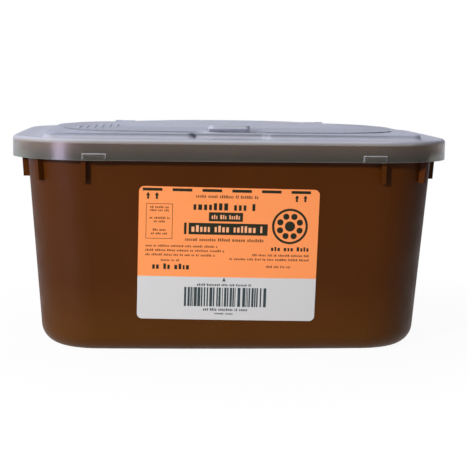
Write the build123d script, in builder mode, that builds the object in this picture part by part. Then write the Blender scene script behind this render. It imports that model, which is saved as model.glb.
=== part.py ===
"""Sharps container: a drafted tub, a snap-over lid, its hinged drop door and a stuck-on label.

Millimetres, +Z up. The origin is on the table under the middle of the container, +X runs along
its length and the label faces -Y.
"""
from build123d import *
from math import cos, radians, sin, tan
import os

# Tub
tub_length = 237.6          # outside, at the rim, across the swell of the ends
tub_width = 176.0           # outside, at the rim, across the swell of the long sides
tub_height = 120.6          # table to the top of the rim
tub_corner = 34.5           # plan radius of the upright corners
tub_wall = 2.0
tub_floor = 2.4
tub_draft = 3.85            # degrees that the walls lean outwards
side_swell = 3.0            # how far the long sides bulge
end_swell = 1.0             # how far the ends bulge
foot_radius = 12.0          # round between wall and floor, outside
foot_ring = 24.0            # flat ring that it stands on, around a shallow recess
foot_recess = 0.9

# Rim of the tub, and the upright ribs that brace it
rim_end_reach = 6.0         # out from the end walls
rim_side_reach = 5.05       # out from the long walls
rim_corner = 44.8
rim_plate = 2.2             # thickness of the flat rim
rim_drop = 6.0              # height of the turned-down edge, with the plate
rim_edge_wall = 1.8
gusset_height = 16.1        # below the turned-down edge
gusset_thickness = 2.5
gusset_reach = 3.9          # out from the wall
side_gusset_inset = 34.8    # on the long sides, from the end of the tub
end_gusset_inset = 41.0     # on the ends, from the side of the tub

# Lid
rim_clearance = 0.4         # skirt to rim, each side
skirt_wall = 1.8
skirt_height = 9.7          # below the top of the rim
deck_thickness = 2.2
shoulder_radius = 2.0
pocket_length = 12.8        # snap pockets pressed outwards at the lower edge of the skirt
pocket_height = 3.7
pocket_bulge = 0.9
pocket_wall = 1.2           # round the sides and top of a pocket
pocket_inset = 49.1         # from the end of the lid to the middle of a pocket
locating_ring_wall = 1.4
locating_ring_depth = 4.0
locating_ring_clearance = 0.8

# Raised platform in the lid
platform_end_border = 21.0  # deck left at each end, in front and behind
platform_front_border = 11.25
platform_back_border = 18.25
platform_rise = 3.2
platform_wall = 2.0
platform_front_corner = 5.0
platform_back_corner = 58.0
platform_back_swell = 7.0
platform_edge_round = 0.8
platform_foot_round = 2.2   # hollow round where the platform rises out of the deck
finger_scoop_width = 42.0
finger_scoop_depth = 6.0
finger_scoop_corner = 2.5
finger_scoop_mouth = 3.0    # round where the scoop meets the front wall
latch_x = -3.0              # the scoop and the thumb tab stand a little off the middle

# Door
door_end_margin = 6.0       # platform left at each end, in front and behind
door_front_margin = 7.0
door_back_margin = 6.0
door_corner = 44.0
door_swell = 12.0           # front and back edges
door_end_swell = 9.0
door_rim = 0.5              # upright edge of the door
door_crown = 3.6            # rise of the middle above that edge
door_wall = 1.6
crown_steps = 5
tab_width = 23.0
tab_reach = 7.0             # in front of the door's front edge
tab_flat = 12.0             # level top of the tab, front to back
tab_slope = 30.0            # from there down into the door
tab_thickness = 1.8
tab_rise = 2.5              # underside of the tab above the platform
tab_corner = 3.0

# Drop opening under the door, and the ring under the door that plugs it
opening_end_inset = 16.0    # in from the edge of the door
opening_side_inset = 20.0
opening_setback = 4.0       # behind the middle of the door
opening_corner = 34.0
opening_swell = 5.0
opening_lip_wall = 1.8
opening_lip_depth = 5.0     # below the underside of the platform
plug_wall = 1.4
plug_depth = 4.6            # below the top of the platform
plug_clearance = 0.7

# Hinge at the back of the door
hinge_inset = 44.0          # middle of each arm, from the end of the platform
hinge_gap = 5.0             # back wall of the platform to the hinge line
arm_width = 8.0
arm_thickness = 1.2
arm_proud = 0.5             # top of the arm above the platform
arm_root = 22.0             # from the hinge line into the door
arm_heel = 1.6              # behind the hinge line; meets the deck when the door is past upright
arm_clearance = 0.25        # under the arm, where it crosses the platform in a channel
arm_side_gap = 0.5          # arm to channel, and arm to lug
barrel_radius = 1.7
pin_radius = 1.0
pin_length = 4.9
pin_clearance = 0.08        # radial
lug_width = 5.0
lug_radius = 1.9

# Label on the front wall
label_width = 101.6
label_height = 76.2
label_corner = 3.0
label_thickness = 0.3
label_glue = 0.04           # film of adhesive between the wall and the label
label_x = -3.0
label_z = 57.6
label_tilt = 0.9            # degrees, clockwise as seen from the front

# Places that follow from the sizes above
lean = tan(radians(tub_draft))
foot_inset = tub_height * lean + foot_radius + foot_ring
rim_length = tub_length + 2 * rim_end_reach
rim_width = tub_width + 2 * rim_side_reach
rim_underside = tub_height - rim_drop
lid_length = rim_length + 2 * (rim_clearance + skirt_wall)
lid_width = rim_width + 2 * (rim_clearance + skirt_wall)
lid_corner = rim_corner + rim_clearance + skirt_wall
skirt_bottom = tub_height - skirt_height
deck_top = tub_height + deck_thickness
pocket_x = lid_length / 2 - pocket_inset
platform_end = lid_length / 2 - platform_end_border
platform_front = lid_width / 2 - platform_front_border
platform_back = lid_width / 2 - platform_back_border
platform_top = deck_top + platform_rise
platform_ceiling = platform_top - platform_wall
door_length = 2 * (platform_end - door_end_margin)
door_front = door_front_margin - platform_front
door_back = platform_back - door_back_margin
door_width = door_back - door_front
door_y = (door_front + door_back) / 2
door_edge = platform_top + door_rim
opening_y = door_y + opening_setback
opening_length = door_length - 2 * opening_end_inset
opening_width = door_width - 2 * opening_side_inset
tab_front = door_front - tab_reach
tab_top = platform_top + tab_rise + tab_thickness
hinge_x = platform_end - hinge_inset
hinge_y = platform_back + hinge_gap
arm_top = platform_top + arm_proud
arm_underside = arm_top - arm_thickness
hinge_z = arm_top - barrel_radius
lug_x = hinge_x + arm_width / 2 + arm_side_gap + lug_width / 2

# Outlines seen from above: length, width, corner radius, swell of the sides, swell of the ends
foot_shape = (tub_length - 2 * foot_inset, tub_width - 2 * foot_inset, tub_corner / 2, 0, 0)
tub_shape = (tub_length, tub_width, tub_corner, side_swell, end_swell)
rim_shape = (rim_length, rim_width, rim_corner, side_swell, end_swell)
lid_shape = (lid_length, lid_width, lid_corner, side_swell, end_swell)
opening_shape = (opening_length, opening_width, opening_corner, opening_swell, 0)
door_shape = (door_length, door_width, door_corner, door_swell, door_end_swell)

os.makedirs("parts", exist_ok=True)


def plan(shape, skin=0.0):
    """Rounded rectangle with bulging sides, moved outwards by skin, or inwards if negative."""
    length, width, corner, swell, bulge = shape
    x = length / 2 + skin - bulge
    y = width / 2 + skin - swell
    with BuildSketch() as outline:
        with BuildLine():
            for side in (-1, 1):
                if swell:
                    ThreePointArc((-x, side * y), (0, side * (y + swell)), (x, side * y))
                else:
                    Line((-x, side * y), (x, side * y))
                if bulge:
                    ThreePointArc((side * x, -y), (side * (x + bulge), 0), (side * x, y))
                else:
                    Line((side * x, -y), (side * x, y))
        make_face()
        fillet(outline.vertices(), corner + skin)
    return outline.sketch


def band(shape, outer, inner):
    """Ring between two skins of the same outline."""
    with BuildSketch() as ring:
        add(plan(shape, outer))
        add(plan(shape, inner), mode=Mode.SUBTRACT)
    return ring.sketch


def tub_form(skin=0.0, floor=0.0):
    """Solid of the drafted tub from floor to rim; skin moves its sides out, or in if negative."""
    with BuildPart() as form:
        for height in (floor, tub_height):
            retreat = (tub_height - height) * lean
            length, width, corner, swell, bulge = tub_shape
            level = (length - 2 * retreat, width - 2 * retreat, corner, swell, bulge)
            with BuildSketch(Plane.XY.offset(height)):
                add(plan(level, skin))
        loft(ruled=True)
        fillet(form.faces().sort_by(Axis.Z)[0].edges(), foot_radius + skin)
    return form.part


def crowned(skin, bottom, edge):
    """Solid with the door's outline, upright from bottom to edge and then domed."""
    with BuildPart() as dome:
        with BuildSketch(Plane.XY.offset(bottom)):
            add(plan(door_shape, skin))
        extrude(amount=edge - bottom)
        for step in range(crown_steps):
            share = 1 - step / crown_steps
            ring = tuple(share * size for size in door_shape)
            with BuildSketch(Plane.XY.offset(edge + door_crown * (1 - share**2) ** 1.5)):
                add(plan(ring, share * skin))
        loft()
    return dome.part


def platform_plan(inset=0.0):
    """Outline of the raised platform, moved in by inset: straight front with a scoop, arched back."""
    x = platform_end - inset
    front = inset - platform_front
    back = platform_back - inset
    shoulder = back - platform_back_swell
    with BuildSketch() as outline:
        with BuildLine():
            Polyline((-x, shoulder), (-x, front), (x, front), (x, shoulder))
            ThreePointArc((x, shoulder), (0, back), (-x, shoulder))
        make_face()
        fillet(outline.vertices().group_by(Axis.Y)[0], platform_front_corner - inset)
        fillet(outline.vertices().group_by(Axis.Y)[-1], platform_back_corner - inset)
        with Locations((latch_x, -platform_front)):
            RectangleRounded(finger_scoop_width + 2 * inset, 2 * (finger_scoop_depth + inset),
                             finger_scoop_corner + inset, mode=Mode.SUBTRACT)
        front_corners = outline.vertices().group_by(Axis.Y)[0]
        mouth = front_corners.sort_by(lambda corner: abs(corner.X - latch_x))[:2]
        fillet(mouth, finger_scoop_mouth - inset)
    return outline.sketch


def skirt_blocks(length, height, skin):
    """Four blocks on the lower edge of the skirt, front and back, that follow its outline."""
    with BuildPart() as blocks:
        with BuildSketch(Plane.XY.offset(skirt_bottom)):
            with GridLocations(2 * pocket_x, lid_width, 2, 2):
                Rectangle(length, 4 * side_swell)
        extrude(amount=height)
        with BuildSketch(Plane.XY.offset(skirt_bottom)):
            add(plan(lid_shape, skin))
        extrude(amount=height, mode=Mode.INTERSECT)
    return blocks.part


# Plates at each corner of the tub, an even reach from the wall and never out past the rim
with BuildPart() as gussets:
    gusset_x = tub_length / 2 - side_gusset_inset
    gusset_y = tub_width / 2 - end_gusset_inset
    corner_x = tub_length / 2 - end_swell - tub_corner
    corner_y = tub_width / 2 - side_swell - tub_corner
    with BuildSketch(Plane.XY.offset(rim_underside - gusset_height)):
        with GridLocations(2 * gusset_x, tub_width, 2, 2):
            Rectangle(gusset_thickness, tub_corner)
        with GridLocations(tub_length, 2 * gusset_y, 2, 2):
            Rectangle(tub_corner, gusset_thickness)
        for side in (-1, 1):
            for end in (-1, 1):
                with Locations(Location((end * corner_x, side * corner_y), 45 * side * end)):
                    with Locations((end * tub_corner, 0)):
                        Rectangle(tub_corner, gusset_thickness)
    extrude(amount=gusset_height + rim_drop - rim_plate / 2)
    add(tub_form(gusset_reach), mode=Mode.INTERSECT)
    with BuildSketch(Plane.XY.offset(rim_underside - gusset_height)):
        add(plan(rim_shape))
    extrude(amount=gusset_height + rim_drop, mode=Mode.INTERSECT)

# Tub, open at the top, with a flat rim that turns down at its edge
with BuildPart() as tub:
    add(tub_form())
    add(gussets.part)
    with BuildSketch(Plane.XY.offset(tub_height)):
        add(plan(rim_shape))
    extrude(amount=-rim_plate)
    with BuildSketch(Plane.XY.offset(rim_underside)):
        add(band(rim_shape, 0, -rim_edge_wall))
    extrude(amount=rim_drop)
    add(tub_form(-tub_wall, tub_floor), mode=Mode.SUBTRACT)
    with BuildSketch():
        add(plan(foot_shape))
    extrude(amount=foot_recess, mode=Mode.SUBTRACT)
tub.part.label = "tub"

# Lid: skirt and deck in one shell, raised in the middle, open under the door
with BuildPart() as lid:
    with BuildSketch(Plane.XY.offset(skirt_bottom)):
        add(plan(lid_shape))
    extrude(amount=deck_top - skirt_bottom)
    fillet(lid.faces().sort_by(Axis.Z)[-1].edges(), shoulder_radius)
    with BuildSketch(Plane.XY.offset(skirt_bottom)):
        add(plan(lid_shape, -skirt_wall))
    extrude(amount=skirt_height, mode=Mode.SUBTRACT)
    add(skirt_blocks(pocket_length, pocket_height, pocket_bulge))
    add(skirt_blocks(pocket_length - 2 * pocket_wall, pocket_height - pocket_wall,
                     pocket_bulge - pocket_wall), mode=Mode.SUBTRACT)
    with BuildSketch(Plane.XY.offset(skirt_bottom)):
        add(plan(rim_shape, rim_clearance))
    extrude(amount=skirt_height, mode=Mode.SUBTRACT)

    ring_outside = -tub_wall - locating_ring_clearance
    with BuildSketch(Plane.XY.offset(tub_height)):
        add(band(tub_shape, ring_outside, ring_outside - locating_ring_wall))
    extrude(amount=-locating_ring_depth)

    with BuildSketch(Plane.XY.offset(tub_height)):
        add(platform_plan())
    extrude(amount=platform_top - tub_height)
    deck = lid.faces().filter_by(Plane.XY).group_by(Axis.Z)[-2][0]
    fillet(deck.inner_wires()[0].edges(), platform_foot_round)
    fillet(lid.faces().sort_by(Axis.Z)[-1].edges(), platform_edge_round)
    with BuildSketch(Plane.XY.offset(tub_height)):
        add(platform_plan(platform_wall))
    extrude(amount=platform_ceiling - tub_height, mode=Mode.SUBTRACT)

    opening_plane = Plane(origin=(0, opening_y, platform_ceiling - opening_lip_depth))
    with BuildSketch(opening_plane):
        add(plan(opening_shape, opening_lip_wall))
    extrude(amount=opening_lip_depth + platform_wall / 2)
    with BuildSketch(opening_plane):
        add(plan(opening_shape))
    extrude(amount=opening_lip_depth + platform_wall, mode=Mode.SUBTRACT)

    with BuildSketch(Plane.XY.offset(arm_underside - arm_clearance)):
        for side in (-1, 1):
            with Locations((side * hinge_x, hinge_y)):
                Rectangle(arm_width + 2 * arm_side_gap, arm_root + arm_side_gap,
                          align=(Align.CENTER, Align.MAX))
    extrude(amount=platform_rise, mode=Mode.SUBTRACT)
    for side in (-1, 1):
        with BuildSketch(Plane.YZ.offset(side * lug_x)):
            with Locations((hinge_y, hinge_z)):
                Circle(lug_radius)
                Rectangle(2 * lug_radius, hinge_z - deck_top + deck_thickness / 2,
                          align=(Align.CENTER, Align.MAX))
                Circle(pin_radius + pin_clearance, mode=Mode.SUBTRACT)
        extrude(amount=lug_width / 2, both=True)
lid.part.label = "lid"

# Space inside the door, all but the ring that plugs the opening and the roots of the hinge arms
with BuildPart() as door_hollow:
    with Locations((0, door_y, 0)):
        add(crowned(-door_wall, platform_top - door_wall, door_edge - door_wall))
    with BuildSketch(Plane(origin=(0, opening_y, platform_top - door_wall))):
        add(band(opening_shape, -plug_clearance, -plug_clearance - plug_wall))
        for side in (-1, 1):
            with Locations((side * hinge_x, hinge_y - opening_y)):
                Rectangle(arm_width, arm_root, align=(Align.CENTER, Align.MAX))
    extrude(amount=door_wall + door_rim + door_crown, mode=Mode.SUBTRACT)

# Door with its thumb tab in front and two hinge arms behind
with BuildPart() as access_door:
    with Locations((0, door_y, 0)):
        add(crowned(0, platform_top, door_edge))
    with BuildSketch(Plane.YZ.offset(latch_x)):
        with BuildLine():
            Polyline((tab_front, tab_top - tab_thickness), (tab_front, tab_top),
                     (tab_front + tab_flat, tab_top), (tab_front + tab_flat + tab_slope, door_edge),
                     (door_front + door_wall, platform_top + door_rim / 2), close=True)
        make_face()
    extrude(amount=tab_width / 2, both=True)
    fillet(access_door.edges().filter_by(Axis.Z).group_by(Axis.Y)[0], tab_corner)
    add(door_hollow.part, mode=Mode.SUBTRACT)
    for side in (-1, 1):
        with BuildSketch(Plane.YZ.offset(side * hinge_x)):
            with Locations((hinge_y + arm_heel, arm_top)):
                Rectangle(arm_root + arm_heel, arm_thickness, align=(Align.MAX, Align.MAX))
            with Locations((hinge_y, hinge_z)):
                Circle(barrel_radius)
        extrude(amount=arm_width / 2, both=True)
        with BuildSketch(Plane.YZ.offset(side * (hinge_x + arm_width / 2))):
            with Locations((hinge_y, hinge_z)):
                Circle(pin_radius)
        extrude(amount=side * pin_length)
    with BuildSketch(Plane(origin=(0, opening_y, platform_top))):
        add(band(opening_shape, -plug_clearance, -plug_clearance - plug_wall))
    extrude(amount=-plug_depth)
access_door.part.label = "access_door"

# Label, a thin skin that follows the front wall
with BuildPart() as front_label:
    add(tub_form(label_glue + label_thickness))
    tilt = radians(label_tilt)
    wall_view = Plane(origin=(label_x, 0, label_z), x_dir=(cos(tilt), 0, -sin(tilt)), z_dir=(0, -1, 0))
    with BuildSketch(wall_view):
        RectangleRounded(label_width, label_height, label_corner)
    extrude(amount=tub_width, mode=Mode.INTERSECT)
    add(tub_form(label_glue), mode=Mode.SUBTRACT)
front_label.part.label = "front_label"

for piece in (tub, lid, access_door, front_label):
    export_step(piece.part, f"parts/{piece.part.label}.step")
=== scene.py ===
"""Looks of the sharps container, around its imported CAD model: plastics, label print and light.

Metres, in the frame of the CAD model: +Z up, the label faces -Y.
"""
import math
import random

import bpy
import bmesh
from mathutils import Matrix, Vector
from mathutils.bvhtree import BVHTree


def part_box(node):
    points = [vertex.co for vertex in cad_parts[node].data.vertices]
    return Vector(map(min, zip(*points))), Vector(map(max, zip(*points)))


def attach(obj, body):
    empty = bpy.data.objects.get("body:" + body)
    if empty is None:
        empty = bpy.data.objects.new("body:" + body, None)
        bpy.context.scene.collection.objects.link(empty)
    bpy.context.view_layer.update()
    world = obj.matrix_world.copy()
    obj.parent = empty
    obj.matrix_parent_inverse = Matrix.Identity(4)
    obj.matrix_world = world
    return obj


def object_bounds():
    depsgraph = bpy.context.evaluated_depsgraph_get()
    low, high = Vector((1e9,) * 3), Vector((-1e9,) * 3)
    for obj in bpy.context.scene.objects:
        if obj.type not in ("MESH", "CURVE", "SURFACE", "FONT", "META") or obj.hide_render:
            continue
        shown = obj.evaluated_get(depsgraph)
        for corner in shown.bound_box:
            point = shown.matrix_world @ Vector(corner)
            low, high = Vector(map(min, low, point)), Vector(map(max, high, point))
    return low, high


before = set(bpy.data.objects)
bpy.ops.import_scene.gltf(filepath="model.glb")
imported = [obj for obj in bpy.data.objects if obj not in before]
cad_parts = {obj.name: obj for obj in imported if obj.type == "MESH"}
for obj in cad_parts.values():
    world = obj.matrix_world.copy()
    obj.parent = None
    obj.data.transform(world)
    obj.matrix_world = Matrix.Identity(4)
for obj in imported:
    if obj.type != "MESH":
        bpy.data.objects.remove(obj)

MM = 0.001

cad_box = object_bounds()
scene = bpy.context.scene
scene.view_settings.view_transform = "Standard"


# ---------------------------------------------------------------- node helpers
class Nodes:
    """Short calls that add nodes to one tree. A value is a number, a colour or another node's output."""

    def __init__(self, tree):
        self.tree = tree

    def node(self, kind, **settings):
        made = self.tree.nodes.new(kind)
        for key, value in settings.items():
            setattr(made, key, value)
        return made

    def link(self, source, target):
        self.tree.links.new(source, target)

    def fill(self, socket, value):
        if isinstance(value, bpy.types.NodeSocket):
            self.link(value, socket)
        elif socket.type == "RGBA":
            socket.default_value = (*value, 1)
        else:
            socket.default_value = value

    def split(self, vector):
        """The X, Y and Z outputs of a vector."""
        made = self.node("ShaderNodeSeparateXYZ")
        self.link(vector, made.inputs[0])
        return made.outputs

    def measure(self, operation, vector, other=(0, 0, 0)):
        """A number from vectors, such as their distance."""
        made = self.node("ShaderNodeVectorMath", operation=operation)
        self.fill(made.inputs[0], vector)
        self.fill(made.inputs[1], other)
        return made.outputs["Value"]

    def math(self, operation, *values):
        made = self.node("ShaderNodeMath", operation=operation)
        for value, socket in zip(values, made.inputs):
            self.fill(socket, value)
        return made.outputs["Value"]

    def ramp(self, factor, low, high, start=0.0, end=1.0):
        """From low to high, as numbers or colours, as factor goes from start to end."""
        if isinstance(low, tuple):
            made = self.node("ShaderNodeValToRGB")
            for element, place, color in zip(made.color_ramp.elements, (start, end), (low, high)):
                element.position = place
                element.color = (*color, 1)
            self.link(factor, made.inputs["Fac"])
            return made.outputs["Color"]
        made = self.node("ShaderNodeMapRange")
        for key, value in (("From Min", start), ("From Max", end), ("To Min", low), ("To Max", high)):
            made.inputs[key].default_value = value
        self.link(factor, made.inputs["Value"])
        return made.outputs["Result"]

    def mix(self, factor, first, second):
        """From the first colour to the second, as factor goes from 0 to 1."""
        made = self.node("ShaderNodeMix", data_type="RGBA")
        factor_in, first_in, second_in, result_out = 0, 6, 7, 2     # several of its sockets share a name
        self.fill(made.inputs[factor_in], factor)
        self.fill(made.inputs[first_in], first)
        self.fill(made.inputs[second_in], second)
        return made.outputs[result_out]

    def light(self, kind, color, strength):
        """Emission or Background shader of that colour and strength."""
        made = self.node(kind)
        self.fill(made.inputs["Color"], color)
        self.fill(made.inputs["Strength"], strength)
        return made.outputs[0]

    def mix_shader(self, factor, first, second):
        made = self.node("ShaderNodeMixShader")
        for source, socket in zip((factor, first, second), made.inputs):
            self.link(source, socket)
        return made.outputs[0]

    def output(self, name, shader):
        self.link(shader, self.tree.nodes[name].inputs["Surface"])


class Material(Nodes):
    """A node material with a Principled shader."""

    def __init__(self, name):
        self.material = bpy.data.materials.new(name)
        self.material.use_nodes = True
        super().__init__(self.material.node_tree)
        self.shader = self.tree.nodes["Principled BSDF"]
        self.place = self.node("ShaderNodeTexCoord").outputs["Object"]

    def set(self, **values):
        """Values of the shader's own sockets, by name: specular_ior_level is Specular IOR Level."""
        for key, value in values.items():
            self.fill(self.shader.inputs[key.replace("_", " ").title().replace("Ior", "IOR")], value)

    def stretched(self, scale):
        """The object's own coordinates, scaled per axis."""
        mapping = self.node("ShaderNodeMapping")
        mapping.inputs["Scale"].default_value = scale
        self.link(self.place, mapping.inputs["Vector"])
        return mapping.outputs["Vector"]

    def noise(self, size, detail=2.0, roughness=0.5, vector=None, distortion=0.0):
        """Noise from 0 to 1 with features of that size in metres."""
        made = self.node("ShaderNodeTexNoise")
        made.inputs["Scale"].default_value = 1 / size
        made.inputs["Detail"].default_value = detail
        made.inputs["Roughness"].default_value = roughness
        made.inputs["Distortion"].default_value = distortion
        self.link(vector or self.place, made.inputs["Vector"])
        return made.outputs["Fac"]

    def clouded(self, noise, low, high):
        """From low to high over the middle of the noise, where most of it lies."""
        return self.ramp(noise, low, high, 0.3, 0.7)

    def bump(self, *layers):
        """Bump from layers of (height, depth in metres)."""
        normal = None
        for height, depth in layers:
            made = self.node("ShaderNodeBump")
            made.inputs["Distance"].default_value = depth
            made.inputs["Strength"].default_value = 1.0
            self.link(height, made.inputs["Height"])
            if normal:
                self.link(normal, made.inputs["Normal"])
            normal = made.outputs["Normal"]
        self.link(normal, self.shader.inputs["Normal"])

    def edges(self, reach):
        """1 on edges that stand out or fold within reach of the point, and 0 on smooth stretches."""
        turned = self.node("ShaderNodeBevel", samples=6)
        turned.inputs["Radius"].default_value = reach
        unturned = self.node("ShaderNodeNewGeometry").outputs["Normal"]
        agreement = self.measure("DOT_PRODUCT", turned.outputs["Normal"], unturned)
        return self.ramp(agreement, 1.0, 0.0, 0.85, 0.99)


def dress(node, material):
    """Gives a CAD node its material."""
    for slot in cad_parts[node].material_slots:
        slot.material = material.material


# ---------------------------------------------------------------- materials
rim_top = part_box("tub")[1].z
door_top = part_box("access_door")[1].z
door_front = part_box("access_door")[0].y
skirt_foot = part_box("lid")[0].z
deck_thickness = 2.2 * MM
deck_top = rim_top + deck_thickness

# Heights between which each stretch of the plastic starts or ends
haze_start = (rim_top - 0.6 * MM, rim_top + 0.1 * MM)      # the plastic is clear below, milky above
rim_glow_zone = (rim_top - 9 * MM, rim_top - 2 * MM)           # painted light: the skirt turns paler and warmer towards the deck, where the lit brown rim stands behind it at rest
deck_zone = (deck_top - 0.3 * MM, deck_top + 0.5 * MM)
platform_zone = (deck_top + 2.0 * MM, deck_top + 3.0 * MM) # up to the platform's top, with the door above
pocket_foot = (skirt_foot + 0.7 * MM, skirt_foot + 1.1 * MM)
pocket_top = (skirt_foot + 4.6 * MM, skirt_foot + 5.0 * MM)
crown_zone = (door_top - 2.6 * MM, door_top - 2.0 * MM)    # the door's crown and thumb tab reach above
bounce_light_zone = (10 * MM, 42 * MM)                         # painted light: the tub is lighter towards its foot, for light bounced up from the floor

# Painted light lifts the shade round the gap under the thumb tab: the plastic is milkier and paler there,
# up to the first distance from its middle, and this fades out by the second
gap_middle = (-3 * MM, door_front, door_top - 4 * MM)
gap_reach = (15 * MM, 24 * MM)

edge_highlight_reach = 0.8 * MM               # of the painted highlight, a whitening beside a sharp bend

# Shares of the milky haze in the lid and the door, from 0 for the clearest plastic to 1
haze_and_sheen_by_tilt = (0.42, 1.0)          # on walls, and on faces that face up, where it is partly painted sky reflection
# painted light: extra haze in the gap under the thumb tab, which lifts its shade
gap_light_haze = 0.95
haze_on_crown = 0.82
edge_highlight_haze = (0.35, 0.95)        # painted edge highlight, outside the height of the snap pockets, and within it
upright_to_flat = (0.1, 0.75)       # the normal's Z on walls, and on faces that face up

backdrop_tint_share = (0.0, 0.4)           # share of a cool tint, painted light of the white backdrop seen through, on the skirt's long sides, and on its ends
side_to_end = (0.82, 0.97)          # the normal's X there, without its sign


def tub_plastic():
    """Opaque brown polypropylene: matt, with slow flow streaks from the mould, and painted lighter towards
    the foot, for the floor's bounce light.
    """
    m = Material("tub_plastic")
    flow = m.noise(0.07, 3, 0.55, m.stretched((1, 1, 0.35)), 0.6)
    # Painted light: the brown lightens towards the foot, standing in for light bounced up from the floor
    foot = m.ramp(m.split(m.place)["Z"], 1.0, 0.0, *bounce_light_zone)
    wall_brown = m.clouded(flow, (0.059, 0.0146, 0.0002), (0.074, 0.0187, 0.0008))
    bounce_lit_brown = m.clouded(flow, (0.078, 0.0245, 0.0016), (0.092, 0.0285, 0.0026))
    m.set(base_color=m.mix(foot, wall_brown, bounce_lit_brown))
    m.set(roughness=m.clouded(m.noise(0.012, 4, 0.6), 0.42, 0.54))
    m.bump((m.noise(0.05), 0.3 * MM), (m.noise(0.0012), 0.01 * MM))
    m.set(ior=1.49, specular_ior_level=0.13)
    return m


def lid_plastic():
    """Natural polypropylene: a clear skirt, and a matt milky haze above it, strongest where it faces up,
    which is partly painted sky reflection. Painted light and shade tint it in places, as marked below.
    """
    m = Material("lid_plastic")
    facing = m.split(m.node("ShaderNodeTexCoord").outputs["Normal"])
    height = m.split(m.place)["Z"]
    # Partly painted light: the haze follows the faces' tilt, so faces that face up are whiter, standing in
    # for the sky's reflection on them
    haze_and_sheen = m.ramp(facing["Z"], *haze_and_sheen_by_tilt, *upright_to_flat)
    above_rim = m.ramp(height, 0.0, 1.0, *haze_start)
    above_deck = m.ramp(height, 0.0, 1.0, *deck_zone)
    above_platform = m.ramp(height, 0.0, 1.0, *platform_zone)
    on_crown = m.ramp(height, 0.0, 1.0, *crown_zone)
    # Painted light: round the gap under the thumb tab the plastic is milkier and keeps the paler colour, to
    # lift the tab's shadow
    near_gap_light = m.ramp(m.measure("DISTANCE", m.place, gap_middle), 1.0, 0.0, *gap_reach)
    gap = m.math("MULTIPLY", near_gap_light, above_platform)

    haze = m.math("MAXIMUM", haze_and_sheen, m.math("MULTIPLY", gap, gap_light_haze))
    haze = m.math("MULTIPLY_ADD", on_crown, m.math("SUBTRACT", haze_on_crown, haze), haze)
    # Painted highlight: sharp edges are whitened, most at the height of the snap pockets, where their rims
    # catch the light
    over_foot = m.ramp(height, 0.0, 1.0, *pocket_foot)
    under_top = m.ramp(height, 1.0, 0.0, *pocket_top)
    pockets = m.math("MULTIPLY", over_foot, under_top)
    painted_edge_highlight = m.math("MULTIPLY", m.edges(edge_highlight_reach), m.ramp(pockets, *edge_highlight_haze))
    haze = m.math("MAXIMUM", m.math("MULTIPLY", haze, above_rim), painted_edge_highlight)

    cloud = m.noise(0.06, 3)
    skirt = m.clouded(cloud, (0.49, 0.51, 0.43), (0.55, 0.57, 0.49))
    # Painted light: towards the deck the skirt takes a pale warm tint, standing in for the lit brown rim
    # seen through it at rest
    rim_glow_tint = m.clouded(cloud, (0.92, 0.79, 0.66), (0.98, 0.85, 0.72))
    clear = m.mix(m.ramp(height, 0.0, 1.0, *rim_glow_zone), skirt, rim_glow_tint)
    # Painted light: the skirt's ends take a cool tint, standing in for the white backdrop seen through them
    # edge-on
    ends = m.ramp(m.math("ABSOLUTE", facing["X"]), *backdrop_tint_share, *side_to_end)
    backdrop_tint, cool_edge = (0.56, 0.66, 0.72), (0.68, 0.72, 0.82)
    clear = m.mix(above_deck, m.mix(ends, clear, backdrop_tint), cool_edge)
    # Painted shade: over the hollow, on the platform and the door below its crown, the milky plastic is
    # darker, standing in for the dark inside seen through it; the crown and the gap keep the paler colour
    hollow_shade = m.math("SUBTRACT", above_platform, m.math("MAXIMUM", on_crown, gap))
    over_deck = m.clouded(cloud, (0.83, 0.84, 0.98), (0.89, 0.90, 1.0))
    shaded_milky = m.clouded(cloud, (0.63, 0.65, 0.78), (0.69, 0.71, 0.84))
    milky = m.mix(hollow_shade, over_deck, shaded_milky)

    m.set(base_color=m.mix(haze, clear, milky))
    m.set(transmission_weight=m.ramp(haze, 0.93, 0.40))
    m.set(roughness=m.ramp(haze, 0.28, 0.40))
    m.bump((m.noise(0.04), 0.2 * MM), (m.noise(0.006), 0.006 * MM))
    m.set(ior=1.49)
    return m


dress("tub", tub_plastic())
lid_material = lid_plastic()
dress("lid", lid_material)
dress("access_door", lid_material)


# ---------------------------------------------------------------- label
label_low, label_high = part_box("front_label")
label_centre = (label_low + label_high) / 2     # metres
label_tilt = math.radians(0.9)      # clockwise as seen from the front
band_top = -13.2                    # mm from the middle: orange above, white below
ink_lift = 0.06 * MM                # face of the ink above the label
ink_root = 0.04 * MM                # ink sunk into the label
longest_span = 8.0                  # mm of flat ink, before it bends with the wall
paper_white = (0.625, 0.62, 0.615)
paper_orange = (1.0, 0.315, 0.098)

label_skin = BVHTree.FromObject(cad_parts["front_label"], bpy.context.evaluated_depsgraph_get())


def on_label(u, v, lift):
    """Point u mm to the right of the label's middle and v mm up from it, lift metres above its face."""
    x = label_centre.x + (u * math.cos(label_tilt) + v * math.sin(label_tilt)) * MM
    z = label_centre.z + (v * math.cos(label_tilt) - u * math.sin(label_tilt)) * MM
    hit = label_skin.ray_cast(Vector((x, -1, z)), Vector((0, 1, 0)))[0]
    return Vector((x, hit.y - lift, z))


def label_stock():
    """Coated paper, printed orange down to a line that tilts with the label, and white below it."""
    m = Material("label_stock")
    upright = Vector((math.sin(label_tilt), 0, math.cos(label_tilt)))
    edge = label_centre.dot(upright) + band_top * MM
    blur = 0.1 * MM
    up = m.measure("DOT_PRODUCT", m.place, tuple(upright))
    is_orange = m.ramp(up, 0.0, 1.0, edge - blur, edge + blur)
    m.set(base_color=m.mix(is_orange, paper_white, paper_orange))
    m.set(roughness=0.45, specular_ior_level=0.3)
    return m


dress("front_label", label_stock())


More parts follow.
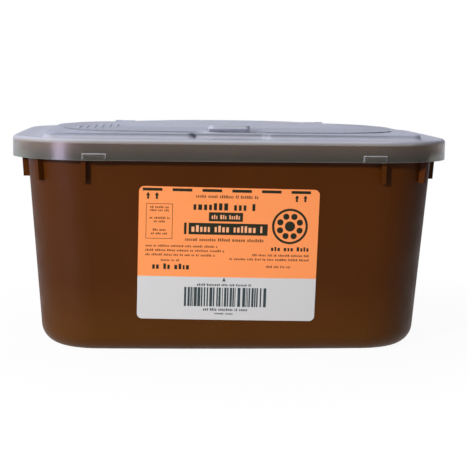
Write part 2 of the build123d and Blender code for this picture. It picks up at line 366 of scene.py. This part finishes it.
# ---------------------------------------------------------------- pieces
def closed_tube(mesh, rings):
    """Closed solid through rings of points with as many points each."""
    for ring, after in zip(rings, rings[1:]):
        for side in range(len(ring)):
            beside = (side + 1) % len(ring)
            mesh.faces.new((ring[side], ring[beside], after[beside], after[side]))
    mesh.faces.new(reversed(rings[0]))
    mesh.faces.new(rings[-1])


def piece_from(mesh, name, material):
    """The finished mesh as a piece in the scene."""
    bmesh.ops.recalc_face_normals(mesh, faces=mesh.faces)
    data = bpy.data.meshes.new(name)
    mesh.to_mesh(data)
    mesh.free()
    data.materials.append(material)
    piece = bpy.data.objects.new(name, data)
    scene.collection.objects.link(piece)
    return piece


def grip():
    """Low rounded ribs across the left end of the door, as a grip for the thumb."""
    door_skin = BVHTree.FromObject(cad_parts["access_door"], bpy.context.evaluated_depsgraph_get())
    middle_x, middle_y = -78 * MM, -34 * MM
    ribs, pitch = 6, 4.4 * MM
    length, width = 26 * MM, 1.9 * MM
    proud, sunk = 0.55 * MM, 0.3 * MM       # height above the door, depth of the foot in it
    stations, profile = 20, 8               # steps along a rib and across it
    squareness = 6                          # of the ribs' ends, seen from above
    narrowest = 0.02                        # square of the section's share at the very ends
    mesh = bmesh.new()
    for rib in range(ribs):
        x = middle_x + (rib - (ribs - 1) / 2) * pitch
        rings = []
        for station in range(stations + 1):
            share = 2 * station / stations - 1
            swell = math.sqrt(max(narrowest, 1 - abs(share) ** squareness))     # of the section
            y = middle_y + share * length / 2
            ring = []
            for point in range(profile + 1):
                turn = math.pi * point / profile
                across = x + math.cos(turn) * swell * width / 2
                top = door_skin.ray_cast(Vector((across, y, 1)), Vector((0, 0, -1)))[0].z
                ring.append((across, y, top + math.sin(turn) * swell * proud))
            foot = [(across, y, top - sunk) for across, y, top in (ring[-1], ring[0])]
            rings.append([mesh.verts.new(corner) for corner in ring + foot])
        closed_tube(mesh, rings)
    piece = piece_from(mesh, "door_grip", lid_material.material)
    for face in piece.data.polygons:
        face.use_smooth = len(face.vertices) == 4
    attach(piece, "door")


grip()


# ---------------------------------------------------------------- print on the label
# Sizes are in millimetres on the label: u to the right and v up from its middle.
class Print:
    """Ink on the label, drawn as thin closed solids that follow its curve, over ink as thick as below."""

    # Blocks of the unreadable text: their number in a word, widths and gaps as shares of the line's
    # pitch, and the height of most of them as a share of the line's
    block_counts = (2, 8)
    block_widths = (0.45, 0.75)
    block_gap = 0.38
    word_gap = 0.8
    low_block = 0.78

    def __init__(self, name, ink, below=0.0):
        self.name = name
        self.ink = ink
        self.below = below
        self.mesh = bmesh.new()

    def strip(self, low, high):
        """Closed solid between two rows of points, of one length."""
        rings = []
        for (u0, v0), (u1, v1) in zip(low, high):
            corners = ((u0, v0, ink_lift), (u1, v1, ink_lift), (u1, v1, -ink_root), (u0, v0, -ink_root))
            rings.append([self.mesh.verts.new(on_label(u, v, self.below + lift)) for u, v, lift in corners])
        closed_tube(self.mesh, rings)

    def bar(self, left, right, bottom, top):
        steps = max(1, math.ceil((right - left) / longest_span))
        across = [left + (right - left) * step / steps for step in range(steps + 1)]
        self.strip([(u, bottom) for u in across], [(u, top) for u in across])

    def disc(self, u, v, radius, sides=36):
        turns = [math.pi - 2 * math.pi * side / sides for side in range(sides // 2 + 1)]
        upper = [(u + radius * math.cos(t), v + radius * math.sin(t)) for t in turns[1:-1]]
        self.strip([(x, 2 * v - y) for x, y in upper], upper)

    def ring(self, u, v, radius, inner, sides=48):
        """Ring from two halves."""
        for half in (0, math.pi):
            turns = [half + 2 * math.pi * side / sides for side in range(sides // 2 + 1)]
            self.strip([(u + inner * math.cos(t), v + inner * math.sin(t)) for t in turns],
                       [(u + radius * math.cos(t), v + radius * math.sin(t)) for t in turns])

    def pointer(self, u, bottom, top, width):
        """Triangle that points up, with a hair of height at its corners, so that it stays a solid."""
        hair = 0.05
        self.strip([(u - width / 2, bottom), (u, bottom), (u + width / 2, bottom)],
                   [(u - width / 2, bottom + hair), (u, top), (u + width / 2, bottom + hair)])

    def arrow(self, u, bottom, top, width, stem):
        """Arrow that points up, with a head three quarters as high as it is wide."""
        neck = top - width * 0.75
        self.bar(u - stem / 2, u + stem / 2, bottom, neck)
        self.pointer(u, neck, top, width)

    def words(self, left, right, bottom, top, pitch):
        """A line of unreadable text: words of short upright blocks, on a common foot."""
        u = left
        while u < right - pitch:
            for _ in range(draw.randint(*self.block_counts)):
                width = pitch * draw.uniform(*self.block_widths)
                if u + width > right:
                    break
                tall = draw.choice((self.low_block, self.low_block, 1.0))
                self.bar(u, u + width, bottom, bottom + (top - bottom) * tall)
                u += width + pitch * self.block_gap
            u += pitch * self.word_gap

    def finish(self):
        piece = piece_from(self.mesh, self.name, self.ink)
        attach(piece, "base")


def ink(name, thin, full):
    """Printing ink that lies a little unevenly."""
    m = Material(name)
    m.set(base_color=m.ramp(m.noise(0.0012, 3, 0.6), thin, full, 0.35, 0.65))
    m.set(roughness=0.45, specular_ior_level=0.3)
    return m.material


dark_ink = ink("ink_dark", (0.016, 0.019, 0.006), (0.010, 0.012, 0.004))
text_ink = ink("ink_brown", (0.20, 0.075, 0.020), (0.13, 0.048, 0.013))
slate_ink = ink("ink_slate", (0.040, 0.060, 0.064), (0.026, 0.042, 0.047))
orange_ink = ink("ink_orange", (0.90, 0.40, 0.19), (0.98, 0.46, 0.24))
draw = random.Random(8)             # of the words' blocks and the stripes, in the order of the calls below


def fill_line():
    """A dashed line along the top of the label, with arrows up to it at both ends."""
    marks = Print("print_fill_line", dark_ink)
    dashes, first, pitch, dash = 6, -48.8, 16.7, 11.0
    for number in range(dashes):
        start = first + number * pitch
        marks.bar(start, start + dash, 35.6, 37.2)
    for u in (-45.7, -40.8, 37.9, 42.7):
        marks.arrow(u, 31.0, 34.8, width=2.3, stem=1.1)
    marks.finish()


def panels():
    """Two dark panels, the lower one with a bar at its left, and unreadable lines knocked out of them."""
    dark = Print("print_panels", dark_ink)
    dark.bar(-11.4, 7.8, 19.0, 24.1)
    dark.bar(-22.6, 22.0, 11.3, 17.9)
    dark.bar(-25.2, -23.8, 11.3, 17.9)
    dark.finish()

    knockout = Print("print_panel_text", orange_ink, below=ink_lift)
    knockout.words(-9.8, 6.4, 20.3, 22.7, pitch=1.4)
    knockout.words(-21.0, 20.8, 12.8, 16.5, pitch=2.3)
    knockout.finish()


def headings():
    """The large lines: at the top, under the emblem and at the lower left."""
    heading = Print("print_heading", dark_ink)
    heading.words(-20.2, 16.0, 25.3, 29.3, pitch=2.9)
    heading.words(24.4, 46.0, 2.6, 5.0, pitch=1.9)
    heading.words(-42.6, -21.8, -9.0, -5.8, pitch=2.2)
    heading.finish()


def small_text():
    """Two lines above and below the panels, and the smallest lines, each with its left, right and foot."""
    text = Print("print_text", text_ink)
    text.words(-18.9, 16.1, 32.2, 33.9, pitch=1.15)
    text.words(-24.4, 21.7, 7.5, 9.2, pitch=1.2)
    size, pitch = 1.25, 0.95
    at_left = ((-46.6, -5.6, 3.8), (-46.6, -2.0, 1.3), (-46.6, -7.2, -1.3))
    at_right = ((13.8, 46.2, -0.6), (1.0, 46.2, -3.1), (21.8, 35.9, -7.2))
    over_heading = ((-37.8, -27.2, -4.4),)
    in_frame = ((-44.4, -33.6, 25.8), (-44.4, -33.6, 24.0), (-44.6, -32.9, 19.7), (-42.2, -35.3, 17.7),
                (-42.7, -34.9, 12.9), (-43.8, -34.7, 10.8))
    for left, right, foot in at_left + at_right + over_heading + in_frame:
        text.words(left, right, foot, foot + size, pitch)
    text.finish()


def thin_frame():
    """A thin upright frame at the left."""
    border = Print("print_frame", text_ink)
    left, right, bottom, top, line = -46.7, -31.7, 8.4, 28.5, 0.3
    border.bar(left, right, top - line, top)
    border.bar(left, right, bottom, bottom + line)
    border.bar(left, left + line, bottom + line, top - line)
    border.bar(right - line, right, bottom + line, top - line)
    border.finish()


def emblem():
    """A plain ring with a circle of dots round a disc."""
    mark = Print("print_emblem", dark_ink)
    u, v = 34.6, 16.9
    dots, dot_circle, dot_radius = 8, 6.0, 1.75
    mark.ring(u, v, 10.2, inner=8.9)
    mark.disc(u, v, 2.9)
    for dot in range(dots):
        turn = 2 * math.pi * (dot + 0.5) / dots
        mark.disc(u + dot_circle * math.cos(turn), v + dot_circle * math.sin(turn), dot_radius)
    mark.finish()


def stripes():
    """Upright stripes of random widths, which encode nothing."""
    code = Print("print_barcode", slate_ink)
    module, start, last_start, end = 0.40, -24.2, 23.6, 24.0
    stripe_modules, gap_modules = (1, 1, 2, 2, 3, 4), (1, 1, 2, 3)
    u = start
    while u < last_start:
        width = module * draw.choice(stripe_modules)
        code.bar(u, min(u + width, end), -30.3, -19.2)
        u += width + module * draw.choice(gap_modules)
    code.finish()


def captions():
    """Unreadable lines above and below the stripes, and a small pointer over them."""
    caption = Print("print_caption", slate_ink)
    caption.words(-17.0, 13.8, -18.3, -17.0, pitch=0.95)
    caption.words(-13.2, 13.2, -32.8, -31.3, pitch=1.05)
    caption.words(-6.6, 3.8, -34.9, -33.9, pitch=0.8)
    caption.pointer(-1.8, -15.6, -13.3, width=2.0)
    caption.finish()


fill_line()
panels()
headings()
small_text()
thin_frame()
emblem()
stripes()
captions()


# ---------------------------------------------------------------- light, floor and camera
middle = (cad_box[0] + cad_box[1]) / 2
white = (1.0, 1.0, 1.0)


def lamp(name, azimuth, height, energy, size):
    """Area lamp aimed at the container, azimuth degrees to the right of its front and height metres up."""
    away, turn = 1.6, math.radians(azimuth)
    data = bpy.data.lights.new(name, "AREA")
    data.energy = energy
    data.shape = "RECTANGLE"
    data.size, data.size_y = size
    made = bpy.data.objects.new(name, data)
    scene.collection.objects.link(made)
    made.location = Vector((away * math.sin(turn), -away * math.cos(turn), height))
    made.rotation_euler = (middle - made.location).to_track_quat("-Z", "Y").to_euler()
    return made


def studio():
    """A key lamp at the front left, a low violet one for gloss, and a cool sky that is dark in front."""
    key = lamp("key", -36, 0.55, 24.0, (0.16, 0.16))
    key.visible_glossy = False
    key.visible_transmission = False
    gloss = lamp("strip", -47, 0.0, 7.0, (0.34, 0.30))
    gloss.visible_diffuse = False
    gloss.data.color = (0.80, 0.68, 1.0)

    world = bpy.data.worlds.new("studio")
    scene.world = world
    world.use_nodes = True
    sky = Nodes(world.node_tree)
    towards = sky.node("ShaderNodeTexCoord").outputs["Generated"]
    behind = sky.measure("DOT_PRODUCT", towards, (-0.62, 0.78, 0))     # the container, and to its left

    def backdrop(color, front, back):
        """Light of that strength in front of the label, rising to the other behind the container."""
        return sky.light("ShaderNodeBackground", color, sky.ramp(behind, front, back, -0.55, 0.5))

    ray = sky.node("ShaderNodeLightPath").outputs
    on_object = backdrop((0.86, 0.88, 1.0), 0.07, 0.85)
    through_lid = backdrop((0.97, 0.97, 1.0), 0.15, 1.0)
    seen = sky.light("ShaderNodeBackground", white, 1.0)
    lit = sky.mix_shader(ray["Is Transmission Ray"], on_object, through_lid)
    sky.output("World Output", sky.mix_shader(ray["Is Camera Ray"], lit, seen))


def floor():
    """A white disc that takes the shadow. Seen, mirrored or through the lid, it mostly glows."""
    radius, sides = 0.5, 96
    least_glow = 0.91                   # its share up to `near` from the middle, and 1 from `far` on
    near, far = 0.16, 0.45
    mesh = bpy.data.meshes.new("floor")
    rim = [(radius * math.cos(turn), radius * math.sin(turn), 0)
           for turn in (2 * math.pi * side / sides for side in range(sides))]
    mesh.from_pydata(rim, [], [range(sides)])
    plane = bpy.data.objects.new("floor", mesh)
    scene.collection.objects.link(plane)

    m = Material("floor_white")
    m.set(base_color=(0.70, 0.70, 0.70), roughness=0.9)
    glow = m.light("ShaderNodeEmission", white, 1.04)
    share = m.ramp(m.measure("LENGTH", m.place), least_glow, 1.0, near, far)
    ray = m.node("ShaderNodeLightPath").outputs
    background_ray = m.math("MAXIMUM", ray["Is Camera Ray"], ray["Is Transmission Ray"])
    background_ray = m.math("MAXIMUM", background_ray, ray["Is Glossy Ray"])
    glowing = m.math("MULTIPLY", background_ray, share)
    m.output("Material Output", m.mix_shader(glowing, m.shader.outputs[0], glow))
    mesh.materials.append(m.material)


def camera():
    """Long lens in front of the label, a little to the left and above, fitted to the photo's outline."""
    place = (-0.0447139, -0.767549, 0.15845)
    pan, dip, roll = math.radians(-3.743), math.radians(7.3846), math.radians(0.7597)
    focal_length = 94.29
    data = bpy.data.cameras.new("camera")
    data.sensor_width = 36
    data.lens = focal_length
    data.clip_start = 0.01
    made = bpy.data.objects.new("camera", data)
    scene.collection.objects.link(made)
    turn = (Matrix.Rotation(pan, 3, "Z") @ Matrix.Rotation(math.pi / 2 - dip, 3, "X")
            @ Matrix.Rotation(roll, 3, "Z"))
    made.matrix_world = Matrix.Translation(place) @ turn.to_4x4()
    scene.camera = made


studio()
floor()
camera()
